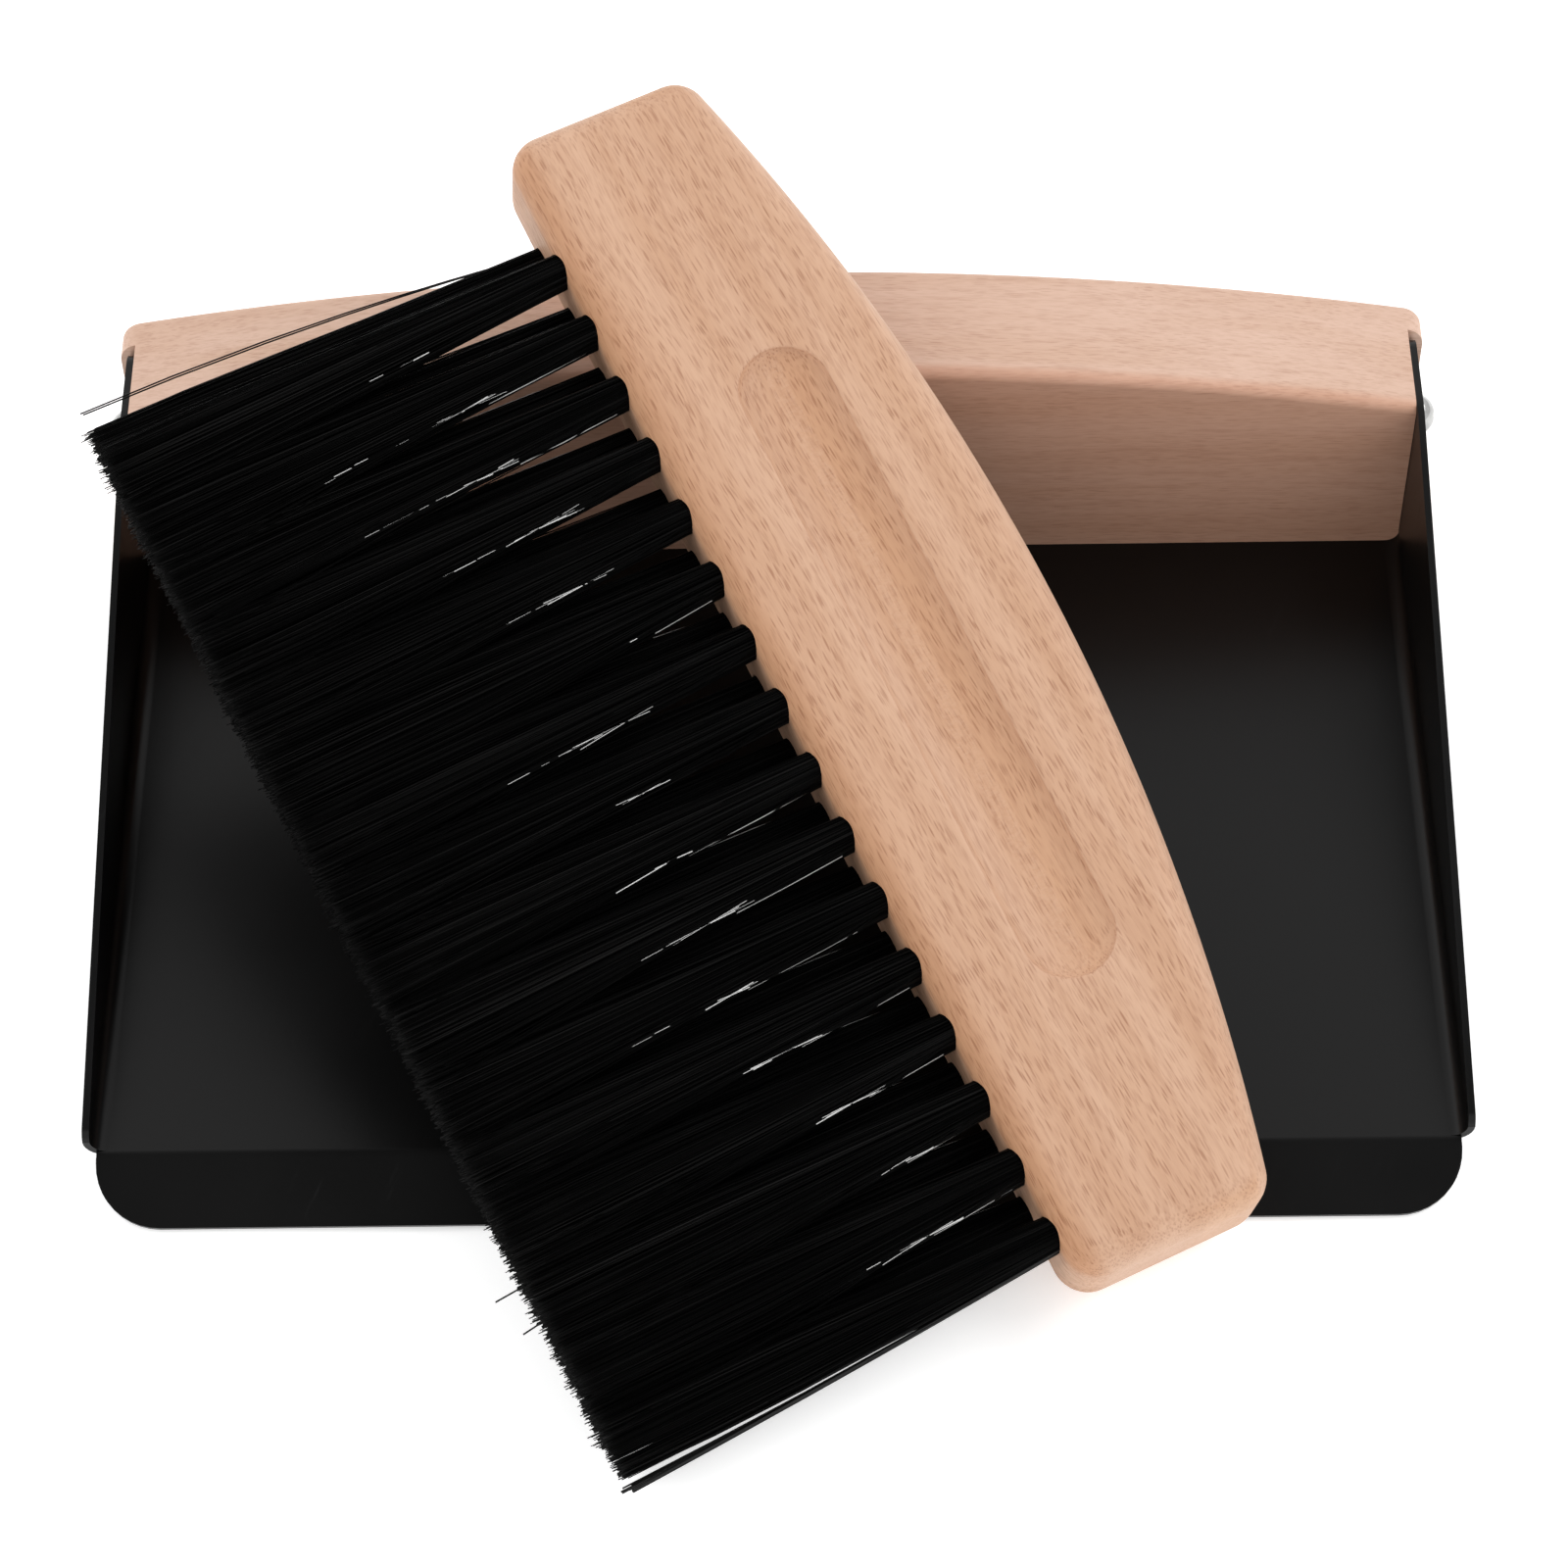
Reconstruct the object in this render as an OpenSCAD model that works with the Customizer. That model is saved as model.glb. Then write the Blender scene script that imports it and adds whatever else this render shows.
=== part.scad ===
// Dustpan and brush.
// A folded steel pan with a beech block across its back as the handle, and a beech hand brush
// that leans across it: its underside on the top of the handle, its lower end on the table.
//
// Frame: the origin is the middle of the handle block's underside, on the table (z = 0).
// +X is to the right, +Y to the rear, +Z up. Millimetres.

/* [Pan] */
// Outer width of the pan across its side walls
pan_width = 230; // [200:1:260]
// Flat length of the floor, from the handle block to the lip's fold
floor_length = 128.5; // [110:0.5:150]
// Thickness of the sheet steel
sheet = 1.2; // [1:0.1:1.6]
// Height of the floor's underside above the table
floor_lift = 4.3; // [3.5:0.1:6]
// Inside radius of the bend between the floor and a wall
wall_bend = 2.5; // [1.5:0.5:4]
// Height of a wall's front end above the floor's top face
wall_front = 4; // [3:0.5:8]
// Height of a tab's top edge above the table
tab_height = 41.5; // [38:0.5:43]
// Radius of the rounded corner at a wall's front end
wall_corner = 2.5; // [1:0.5:3]

/* [Lip] */
// Width of the lip
lip_width = 226; // [200:1:227]
// Horizontal length of the lip, from its fold to its edge
lip_reach = 12; // [10:0.5:16]
// Radius of the lip's two corners
lip_corner = 11; // [6:1:12]

/* [Handle block] */
// Thickness of the block, front to back
handle_thickness = 25; // [23:1:28]
// Height of the block at the middle of its arched top
handle_mid = 53; // [50:0.5:56]
// Height of the block at its ends
handle_end = 41.1; // [40:0.1:42]
// How far the block's ends stand out beyond the walls
handle_proud = 1.7; // [0:0.1:2]
// How far the floor's rear edge is let into the block's front face
floor_tongue = 5; // [3:1:8]
// How far a tab stops short of the block's rear face
tab_short = 6.5; // [3:0.5:8]
// Rounding of the block's long edges
handle_edge = 2; // [1:0.5:3]
// Rounding of the block's corners
handle_corner = 4; // [3:0.5:5]

/* [Brush block] */
// Length of the brush block
brush_length = 220; // [215:1:225]
// Width of the block at the middle of its arched side
brush_mid = 50; // [48:0.5:52]
// Width of the block at its ends
brush_end = 35; // [33:0.5:37]
// Thickness of the block
brush_thickness = 22; // [20:1:24]
// Rounding of the block's long edges
brush_edge = 6; // [3:0.5:6]
// Rounding of the block's corners
brush_corner = 6; // [6:0.1:6.4]
// Length of the finger groove
groove_length = 122; // [100:1:130]
// Width of the finger groove
groove_width = 17; // [12:0.5:18]
// Depth of the finger groove
groove_depth = 3; // [2:0.5:3.5]
// Distance of the groove's centre line from the bristle side
groove_line = 24.2; // [22:0.1:26]
// How far the groove's middle lies towards the lower end
groove_shift = 4.6; // [0:0.1:6]

/* [Bristles] */
// Number of tufts in a row
tufts = 16; // [12:1:16]
// Distance between neighbouring tufts
tuft_pitch = 12.4; // [12.2:0.1:12.6]
// Distance between the two rows
row_gap = 9; // [9:0.5:11]
// Diameter of a tuft's hole
tuft_hole = 6.5; // [5.6:0.1:7]
// Depth of a tuft's hole
tuft_depth = 13; // [11:0.5:14]
// Free length of the bristles at the middle of the brush
bristle_length = 81; // [70:1:84]
// How much longer the first tufts are than the last ones
bristle_skew = 5.5; // [0:0.5:6]
// Thickness of one row of bristles at its tips
row_thickness = 5.2; // [4:0.2:5.4]

/* [Screws] */
// Diameter of a screw's dome head
screw_head = 7.6; // [6:0.2:8]
// Height of the dome
screw_dome = 3.4; // [2.4:0.1:3.6]
// Diameter of a screw's shank
screw_shank = 4; // [3:0.5:4.5]
// Length of a screw under its head
screw_length = 25; // [16:1:30]
// Height of the screws above the table
screw_height = 32; // [20:1:34]
// How far the screws lie in front of the block's middle
screw_forward = 5.5; // [0:0.5:6]

/* [Hidden] */
$fn = 64;
slack = 0.1;            // clearance of parts that are let into each other
past = 1;               // how far a cutting shape reaches past the face it cuts
// the brush's lean holds only for these sizes of the handle block and the brush
brush_turn = -64.7;     // turn of its long axis about the vertical
brush_slope = 18;       // slope, front to back
brush_side_slope = 3.8; // slope, side to side
brush_place = [-0.2, -76.4, 32.9]; // middle of the block's bristle edge, on its underside
round_fn = 20;          // facets of the rounded corners and edges of a block
arch_steps = 5;         // places on each half of an arch where a block is rounded
floor_top = floor_lift + sheet;
front_y = -handle_thickness / 2;
rear_y = handle_thickness / 2;
fold_y = front_y - floor_length;
tab_end_y = rear_y - tab_short;
lip_angle = atan(floor_lift / lip_reach);
tab_corner = 4;         // radius of the corner at a tab's upper rear
tongue_inset = 1.2;     // gap between the tongue's ends and the walls' bends
recess_length = 3.6;    // size of the cross recess in a screw's head
recess_width = 0.8;
recess_depth = 1.4;
anchor_wide = 7.8;      // length of an anchor, across its hole
anchor_high = 1.8;      // height of an anchor, along its hole
anchor_wire = 0.35;     // thickness of the anchor's flat wire
row_z = [brush_thickness / 2 + row_gap / 2, brush_thickness / 2 - row_gap / 2];
row_shift = [7, 7 - tuft_pitch / 2];
root_proud = 0.6;       // how far a tuft's round root stands out of its hole
tip_rise = 3;           // how far the bristles' tips rise above the middle of the block
tip_gap = 0.3;          // gap between neighbouring tufts' tips
tip_lean = [4, 1.5];    // how far the first and the last tufts' tips lie nearer the lower end
flare_length = 24;      // distance from the block at which neighbouring tufts meet
flare_gap = 0.9;        // gap that is left between them there
flare_round = 2.7;      // half the thickness of a tuft there
flare_inset = 0.2;      // how far the spreading part ends inside the straight part
root_fn = 24;           // facets of a tuft's rounded sections
slice = 1;              // thickness of the slices that a tuft is spanned between
neck_inset = 0.35;      // how much slimmer the spread bristles start than the root

function tuft_name(i) = str("tuft_pair_", i < 10 ? "0" : "", i);

// Radius of the circle through an arch's ends and its middle
function arch_radius(length, rise) = (pow(length / 2, 2) + rise * rise) / (2 * rise);

// Height of an arch above its base line at the place x
function arch_at(x, length, mid, end) =
    let (r = arch_radius(length, mid - end)) mid - r + sqrt(r * r - x * x);

// Place along a row of its tuft number i, counted from 1
function tuft_x(i, row) = (i - (tufts + 1) / 2) * tuft_pitch + row_shift[row];

// Free length of its bristles
function tuft_length(i) = bristle_length + bristle_skew * (0.5 - (i - 1) / (tufts - 1));

// Place of the same tuft's tip
function tip_x(i, row) = tuft_x(i, row) + tip_lean[0] + (tip_lean[1] - tip_lean[0]) * (i - 1) / (tufts - 1);

// ---- Wooden blocks ----

// A block with a straight base along X at y = 0, an arched side towards +Y and all its edges rounded
module arched_block(length, mid, end, thickness, edge, corner) {
    inner = length / 2 - corner;
    hull() {
        for (z = [edge, thickness - edge]) {
            for (side = [-1, 1], y = [corner, arch_at(inner, length, mid, end) - corner])
                translate([side * inner, y, z]) round_corner(edge, corner);
            for (step = [-arch_steps : arch_steps]) {
                x = step / (arch_steps + 1) * inner;
                translate([x, arch_at(x, length, mid, end) - edge, z])
                    sphere(edge, $fn = round_fn);
            }
        }
    }
}

// The rounded corner of a block: a disc of the corner's radius with a rounded rim
module round_corner(edge, corner) {
    rotate_extrude($fn = round_fn)
        intersection() {
            translate([corner - edge, 0]) circle(edge, $fn = round_fn);
            translate([0, -edge]) square([corner, 2 * edge]);
        }
}

module pan_handle() {
    sunk = handle_edge / 2; // the underside's edges are rounded only a little
    groove_wide = pan_width - 2 * (wall_bend + sheet + tongue_inset - 2 * slack);
    tab_room = tab_end_y - front_y + past + slack;
    color("burlywood")
    difference() {
        intersection() {
            translate([0, rear_y, -sunk]) rotate([90, 0, 0])
                arched_block(pan_width + 2 * handle_proud, handle_mid + sunk, handle_end + sunk,
                             handle_thickness, handle_edge, handle_corner);
            translate([-pan_width, -pan_width, 0]) cube(2 * pan_width);
        }
        // groove for the floor's rear edge
        translate([-groove_wide / 2, front_y - past, floor_lift - slack])
            cube([groove_wide, floor_tongue + past + slack, sheet + 2 * slack]);
        // rebates for the tabs
        for (side = [0, 1])
            mirror([side, 0, 0])
                translate([pan_width / 2 - sheet - slack, front_y - past, floor_top + wall_bend - slack])
                    cube([sheet + slack + handle_proud + past, tab_room, handle_mid]);
        // pilot holes for the screws
        screw_holes(screw_length + 3, screw_shank + slack);
    }
}

// Holes along X for the two screws
module screw_holes(depth, width) {
    for (side = [-1, 1])
        translate([side * (pan_width / 2 + past), -screw_forward, screw_height])
            rotate([0, -side * 90, 0]) cylinder(h = depth, d = width);
}

// ---- Pan ----

// Cross-section of the pan: floor, two bends and two walls
module pan_section() {
    bend_out = wall_bend + sheet;
    difference() {
        tub_outline(pan_width, bend_out, 0);
        tub_outline(pan_width - 2 * sheet, wall_bend, sheet);
    }
}

// A tall rectangle with its two lower corners rounded, its underside lifted by rise
module tub_outline(width, radius, rise) {
    translate([-width / 2, floor_lift + rise + radius]) square([width, handle_mid]);
    translate([-width / 2 + radius, floor_lift + rise]) square([width - 2 * radius, handle_mid]);
    for (side = [-1, 1])
        translate([side * (width / 2 - radius), floor_lift + rise + radius]) circle(radius);
}

// What lies outside a rounded corner, between the directions from and to, seen from the arc's middle
module corner_waste(radius, from, to) {
    reach = 2 * radius;
    difference() {
        polygon([
            [0, 0],
            reach * [cos(from), sin(from)],
            2 * reach * [cos((from + to) / 2), sin((from + to) / 2)],
            reach * [cos(to), sin(to)]
        ]);
        circle(radius);
    }
}

// Side view of the walls and tabs, seen along X, with the lip's fold at its front end
module wall_side() {
    front_top = floor_top + wall_front;
    slope = atan((tab_height - front_top) / floor_length);
    difference() {
        polygon([
            [fold_y, floor_lift - past],
            [front_y, floor_lift - past],
            [front_y, floor_top + wall_bend],
            [tab_end_y, floor_top + wall_bend],
            [tab_end_y, tab_height],
            [front_y, tab_height],
            [fold_y, front_top]
        ]);
        translate([tab_end_y - tab_corner, tab_height - tab_corner])
            corner_waste(tab_corner, 0, 90);
        translate([fold_y + wall_corner, front_top + wall_corner * (tan(slope) - 1 / cos(slope))])
            corner_waste(wall_corner, 90 + slope, 180);
    }
}

// Side view of the lip: a strip that slopes from the fold down to the table
module lip_side() {
    polygon([
        [fold_y, floor_lift],
        [fold_y - lip_reach, 0],
        [fold_y - lip_reach - sheet * sin(lip_angle), sheet * cos(lip_angle)],
        [fold_y - sheet * tan(lip_angle / 2), floor_top],
        [fold_y, floor_top]
    ]);
}

// Outline of the lip, seen from above
module lip_outline() {
    reach = lip_reach + sheet;
    corner_y = fold_y - lip_reach + lip_corner - sheet * sin(lip_angle);
    difference() {
        translate([-lip_width / 2, fold_y - reach]) square([lip_width, reach + past]);
        for (side = [0, 1])
            mirror([side, 0])
                translate([lip_width / 2 - lip_corner, corner_y]) corner_waste(lip_corner, -90, 0);
    }
}

module pan_sheet() {
    tongue_width = pan_width - 2 * (wall_bend + sheet + tongue_inset);
    color("dimgray")
    difference() {
        union() {
            // floor, walls and tabs
            intersection() {
                translate([0, rear_y, 0]) rotate([90, 0, 0])
                    linear_extrude(handle_thickness + floor_length) pan_section();
                translate([-pan_width, 0, 0]) rotate([90, 0, 90])
                    linear_extrude(2 * pan_width) wall_side();
            }
            // tongue that is let into the handle block
            translate([-tongue_width / 2, front_y, floor_lift])
                cube([tongue_width, floor_tongue, sheet]);
            // lip
            intersection() {
                translate([-pan_width / 2, 0, 0]) rotate([90, 0, 90])
                    linear_extrude(pan_width) lip_side();
                linear_extrude(handle_mid) lip_outline();
            }
        }
        // holes for the screws
        screw_holes(sheet + 2 * past, screw_shank + 2 * slack);
    }
}

// ---- Screws ----

// A dome-head screw along -X, its head's underside on x = 0, with a cross recess
module handle_screw() {
    dome = (pow(screw_head / 2, 2) + screw_dome * screw_dome) / (2 * screw_dome);
    difference() {
        union() {
            rotate([0, 90, 0]) rotate_extrude()
                intersection() {
                    translate([0, screw_dome - dome]) circle(dome, $fn = 96);
                    square([screw_head / 2, screw_dome]);
                }
            translate([-screw_length, 0, 0]) rotate([0, 90, 0])
                cylinder(h = screw_length, d = screw_shank);
        }
        for (turn = [45, 135])
            rotate([turn, 0, 0])
                translate([screw_dome - recess_depth, -recess_length / 2, -recess_width / 2])
                    cube([recess_depth + past, recess_length, recess_width]);
    }
}

module place_screw() {
    translate([pan_width / 2 + slack / 2, -screw_forward, screw_height]) children();
}

module handle_screw_right() {
    color("silver") place_screw() handle_screw();
}

module handle_screw_left() {
    color("silver") mirror([1, 0, 0]) place_screw() handle_screw();
}

// ---- Brush: made lying flat, bristle edge along X, underside on z = 0, then laid in place ----

module lay_brush() {
    translate(brush_place) rotate([brush_slope, 0, 0]) rotate([0, brush_side_slope, 0])
        rotate([0, 0, brush_turn]) children();
}

module finger_groove() {
    // the groove is the upper part of a lying round bar with ball ends
    bar = (pow(groove_width / 2, 2) + groove_depth * groove_depth) / (2 * groove_depth);
    reach = groove_length / 2 - groove_width / 2;
    translate([groove_shift, groove_line, brush_thickness + bar - groove_depth]) {
        translate([-reach, 0, 0]) rotate([0, 90, 0]) cylinder(h = 2 * reach, r = bar);
        for (side = [-1, 1])
            translate([side * reach, 0, 0]) sphere(bar);
    }
}

module brush_block() {
    color("burlywood") lay_brush()
    difference() {
        arched_block(brush_length, brush_mid, brush_end, brush_thickness, brush_edge, brush_corner);
        finger_groove();
        for (row = [0, 1], i = [1 : tufts])
            translate([tuft_x(i, row), 0, row_z[row]]) {
                translate([0, tuft_depth, 0]) rotate([90, 0, 0])
                    cylinder(h = tuft_depth + past, d = tuft_hole);
                // slit that the anchor's ends bite into
                translate([-anchor_wide / 2 - slack, tuft_depth - anchor_high - 2 * slack, -anchor_wire])
                    cube([anchor_wide + 2 * slack, anchor_high + 2 * slack, 2 * anchor_wire]);
            }
    }
}

module tuft_anchors() {
    color("silver") lay_brush()
    for (row = [0, 1], i = [1 : tufts])
        translate([tuft_x(i, row), tuft_depth - anchor_high / 2 - slack, row_z[row]])
            cube([anchor_wide, anchor_high, anchor_wire], center = true);
}

// A flat slice across a tuft: two discs at the distance out from the block, side apart from its middle
module tuft_slice(x, out, z, side, radius) {
    for (way = [-1, 1])
        translate([x + way * side, slice - out, z]) rotate([90, 0, 0])
            cylinder(h = slice, r = radius, $fn = root_fn);
}

// One tuft: a round root in its hole, the part that spreads from it, and the straight part to the tips
module tuft(i, row) {
    root = tuft_hole / 2 - slack;
    root_depth = tuft_depth - anchor_high - 3 * slack;
    base_x = tuft_x(i, row);
    end_x = tip_x(i, row);
    end_z = brush_thickness / 2 + tip_rise + (row == 0 ? 1 : -1) * (row_thickness / 2 + tip_gap / 2);
    end_round = row_thickness / 2;
    end_side = (tuft_pitch - tip_gap) / 2 - end_round;
    length = tuft_length(i);
    share = flare_length / length;
    flare_x = base_x + (end_x - base_x) * share;
    flare_z = row_z[row] + (end_z - row_z[row]) * share;
    flare_side = (tuft_pitch - flare_gap) / 2 - flare_round;
    translate([base_x, -root_proud, row_z[row]]) rotate([-90, 0, 0])
        cylinder(h = root_depth + root_proud, r = root);
    hull() {
        tuft_slice(base_x, -slice / 2, row_z[row], 0, root - neck_inset);
        tuft_slice(flare_x, flare_length + slice, flare_z, flare_side, flare_round - flare_inset);
    }
    hull() {
        tuft_slice(flare_x, flare_length, flare_z, flare_side, flare_round);
        tuft_slice(end_x, length, end_z, end_side, end_round);
    }
}

// The two tufts that stand side by side in the rows
module tuft_pair(i) {
    color("black") lay_brush() {
        tuft(i, 0);
        tuft(i, 1);
    }
}

pan_sheet();
pan_handle();
handle_screw_left();
handle_screw_right();
brush_block();
tuft_anchors();
for (i = [1 : tufts])
    tuft_pair(i);
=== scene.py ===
import math

import bmesh
import bpy
import numpy as np
from mathutils import Matrix, Vector


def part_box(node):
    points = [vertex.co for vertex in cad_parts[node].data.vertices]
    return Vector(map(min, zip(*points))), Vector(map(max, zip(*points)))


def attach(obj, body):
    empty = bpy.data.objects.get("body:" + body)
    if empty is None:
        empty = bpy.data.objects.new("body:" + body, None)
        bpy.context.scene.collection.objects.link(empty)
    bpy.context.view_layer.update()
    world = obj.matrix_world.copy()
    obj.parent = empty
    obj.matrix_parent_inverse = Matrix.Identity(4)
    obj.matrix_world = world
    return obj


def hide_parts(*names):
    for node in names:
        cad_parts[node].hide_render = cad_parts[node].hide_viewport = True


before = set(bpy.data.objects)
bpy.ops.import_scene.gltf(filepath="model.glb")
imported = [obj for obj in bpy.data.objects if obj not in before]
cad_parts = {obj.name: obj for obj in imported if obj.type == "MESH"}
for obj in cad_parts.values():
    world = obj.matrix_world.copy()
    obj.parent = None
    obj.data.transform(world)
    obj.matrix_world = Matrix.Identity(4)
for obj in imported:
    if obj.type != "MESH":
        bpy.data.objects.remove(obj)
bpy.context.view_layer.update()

# Dustpan and brush: the looks.
# Lengths are in millimetres until they reach Blender, and MM turns them to metres.
MM = 0.001
SEED = 20240611

# ---------------------------------------------------------------- sizes, from the frame


def box_mm(node):
    """Lowest and highest corner of a CAD node, in millimetres."""
    low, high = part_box(node)
    return low / MM, high / MM


PAN_LOW, PAN_HIGH = box_mm("pan_sheet")
HANDLE_LOW, HANDLE_HIGH = box_mm("pan_handle")

SHEET = 1.2             # thickness of the sheet steel
FLOOR_LIFT = 4.3        # height of the pan floor's underside
WALL_BEND = 2.5         # inside radius of the bend between floor and wall
WALL_FRONT = 4.0        # height of a wall's front end above the floor
LIP_REACH = 12.0        # horizontal length of the lip
LIP_WIDTH = 226.0
LIP_CORNER = 11.0       # radius of the lip's corners
TAB_CORNER = 4.0        # radius of a tab's upper rear corner
WALL_CORNER = 2.5       # radius of a wall's upper front corner
FOLD_ROUND = 4.0        # how softly the floor folds into the lip
SHEET_EDGE = 0.35       # rounding of the sheet's cut edges
TUCK = 0.8              # how far the floor's rear edge runs into the handle block

FRONT_Y = HANDLE_LOW.y
FLOOR_TOP = FLOOR_LIFT + SHEET
LIP_ANGLE = math.atan(FLOOR_LIFT / LIP_REACH)
FOLD_Y = PAN_LOW.y + LIP_REACH + SHEET * math.sin(LIP_ANGLE)

HANDLE_THICK = HANDLE_HIGH.y - HANDLE_LOW.y
HANDLE_MID = HANDLE_HIGH.z
HANDLE_END = 41.1       # height of the handle at its ends
HANDLE_EDGE = 2.0       # rounding of the handle's edges
HANDLE_CORNER = 4.0     # rounding of its corners
HANDLE_GAP = 0.1        # gap between the handle's recesses and the sheet

# The brush is made lying flat, its bristle edge along X, and then laid in place
BRUSH_LENGTH = 220.0
BRUSH_MID = 50.0        # width of the block at its middle
BRUSH_END = 35.0        # width of the block at its ends
BRUSH_THICK = 22.0
BRUSH_EDGE = 6.0        # rounding of the block's edges
BRUSH_CORNER = 6.0      # rounding of its corners
BRUSH_TURN = -64.7
BRUSH_SLOPE = 18.0
BRUSH_SIDE_SLOPE = 3.8
BRUSH_PLACE = (-0.2, -76.4, 32.9)
GROOVE_LENGTH = 122.0
GROOVE_WIDTH = 17.0
GROOVE_DEPTH = 3.0
GROOVE_RIM = 0.9        # rounding of the groove's rim
GROOVE_LINE = 24.2      # distance of its centre line from the bristle side
GROOVE_SHIFT = 4.6      # how far its middle lies towards the lower end

TUFTS = 16              # tufts in a row
TUFT_PITCH = 12.4
ROW_GAP = 9.0           # distance between the two rows of holes
TUFT_HOLE = 6.5         # diameter of a hole
HOLE_DEPTH = 13.0
BRISTLE_LENGTH = 81.0   # at the middle of the brush
BRISTLE_SKEW = 5.5      # how much longer the first tufts are than the last ones
ROW_THICK = 5.2         # thickness of one row at its tips
TIP_GAP = 0.3           # gap between the two rows at their tips
TIP_RISE = 3.0          # how far the tips lie above the middle of the block's thickness
TIP_LEAN = (4.0, 1.5)   # how far the first and the last tufts lean along the brush
ROW_SHIFT = (7.0, 7.0 - TUFT_PITCH / 2)
ROW_Z = (BRUSH_THICK / 2 + ROW_GAP / 2, BRUSH_THICK / 2 - ROW_GAP / 2)


def turn(angle, axis):
    """A turn by some degrees about an axis."""
    return Matrix.Rotation(math.radians(angle), 4, axis)


BRUSH_POSE = (
    Matrix.Translation(Vector(BRUSH_PLACE) * MM)
    @ turn(BRUSH_SLOPE, "X") @ turn(BRUSH_SIDE_SLOPE, "Y") @ turn(BRUSH_TURN, "Z")
)

# ---------------------------------------------------------------- mesh helpers


def mesh_piece(name, points, faces, pose=None):
    """A new object from points in millimetres and faces."""
    mesh = bpy.data.meshes.new(name)
    mesh.from_pydata([tuple(c * MM for c in p) for p in points], [], faces)
    mesh.validate()
    mesh.update()
    piece = bpy.data.objects.new(name, mesh)
    bpy.context.scene.collection.objects.link(piece)
    if pose is not None:
        piece.matrix_world = pose
    shade(mesh)
    return piece


def shade(mesh, angle=35):
    """Smooth shading, with creases sharper than angle kept."""
    mesh.polygons.foreach_set("use_smooth", [True] * len(mesh.polygons))
    mesh.set_sharp_from_angle(angle=math.radians(angle))
    mesh.update()


def settle(piece):
    """Turns a piece's modifiers into its mesh."""
    bpy.context.view_layer.update()
    seen = piece.evaluated_get(bpy.context.evaluated_depsgraph_get())
    mesh = bpy.data.meshes.new_from_object(seen)
    piece.modifiers.clear()
    old = piece.data
    piece.data = mesh
    mesh.name = old.name
    bpy.data.meshes.remove(old)


def cut(piece, points, faces):
    """Cuts a closed shape, given in the piece's own millimetres, out of a piece."""
    tool = mesh_piece("tool", points, faces, piece.matrix_world.copy())
    knife = piece.modifiers.new("cut", "BOOLEAN")
    knife.operation = "DIFFERENCE"
    knife.solver = "EXACT"
    knife.object = tool
    settle(piece)
    bpy.data.objects.remove(tool)


def finish_shape(piece, angle=40):
    """Smooth shading that follows the large faces, with creases sharper than angle kept."""
    shade(piece.data, angle)
    weigh = piece.modifiers.new("normals", "WEIGHTED_NORMAL")
    weigh.keep_sharp = True
    settle(piece)


def face_outward(piece, wrong_way=None):
    """Turns all faces the same way, and the other way round where wrong_way(faces) says so."""
    mesh = bmesh.new()
    mesh.from_mesh(piece.data)
    bmesh.ops.recalc_face_normals(mesh, faces=mesh.faces)
    if wrong_way is not None and wrong_way(mesh.faces):
        bmesh.ops.reverse_faces(mesh, faces=mesh.faces)
    mesh.to_mesh(piece.data)
    mesh.free()


def arc(centre, radius, start, end, steps):
    """Points on an arc and their outward directions."""
    out = []
    for k in range(steps + 1):
        a = math.radians(start + (end - start) * k / steps)
        way = (math.cos(a), math.sin(a))
        out.append(((centre[0] + radius * way[0], centre[1] + radius * way[1]), way))
    return out


def tube(sections):
    """Points and faces of a closed skin over closed sections with equal numbers of points."""
    points = [p for section in sections for p in section]
    n = len(sections[0])
    faces = []
    for s in range(len(sections) - 1):
        for k in range(n):
            a = s * n + k
            b = s * n + (k + 1) % n
            faces.append((a, b, b + n, a + n))
    faces.append(tuple(reversed(range(n))))
    faces.append(tuple(range((len(sections) - 1) * n, len(sections) * n)))
    return points, faces


def merge(shapes):
    """Joins (points, faces) shapes into one."""
    points, faces = [], []
    for some_points, some_faces in shapes:
        start = len(points)
        points += some_points
        faces += [tuple(i + start for i in face) for face in some_faces]
    return points, faces


# ---------------------------------------------------------------- wooden blocks


def block_outline(length, mid, end, corner):
    """Outline of an arched block, anticlockwise, as (point, outward direction) pairs."""
    rise = mid - end
    half = length / 2
    big = (half * half + rise * rise) / (2 * rise)   # radius of the arched side
    middle_y = mid - big
    top_x = half - corner
    top_y = middle_y + math.sqrt((big - corner) ** 2 - top_x ** 2)
    lean = math.degrees(math.atan2(top_y - middle_y, top_x))   # where the arch meets the corner
    base = [((x, 0.0), (0.0, -1.0)) for x in np.linspace(-top_x, top_x, 26)[1:-1]]
    side_ys = np.linspace(corner, top_y, 8)[1:-1]
    return (
        arc((-top_x, corner), corner, 180, 270, 10)
        + base
        + arc((top_x, corner), corner, 270, 360, 10)
        + [((half, y), (1.0, 0.0)) for y in side_ys]
        + arc((top_x, top_y), corner, 0, lean, 10)
        + arc((0, middle_y), big, lean, 180 - lean, 60)[1:-1]
        + arc((-top_x, top_y), corner, 180 - lean, 180, 10)
        + [((-half, y), (-1.0, 0.0)) for y in side_ys[::-1]]
    )


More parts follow.
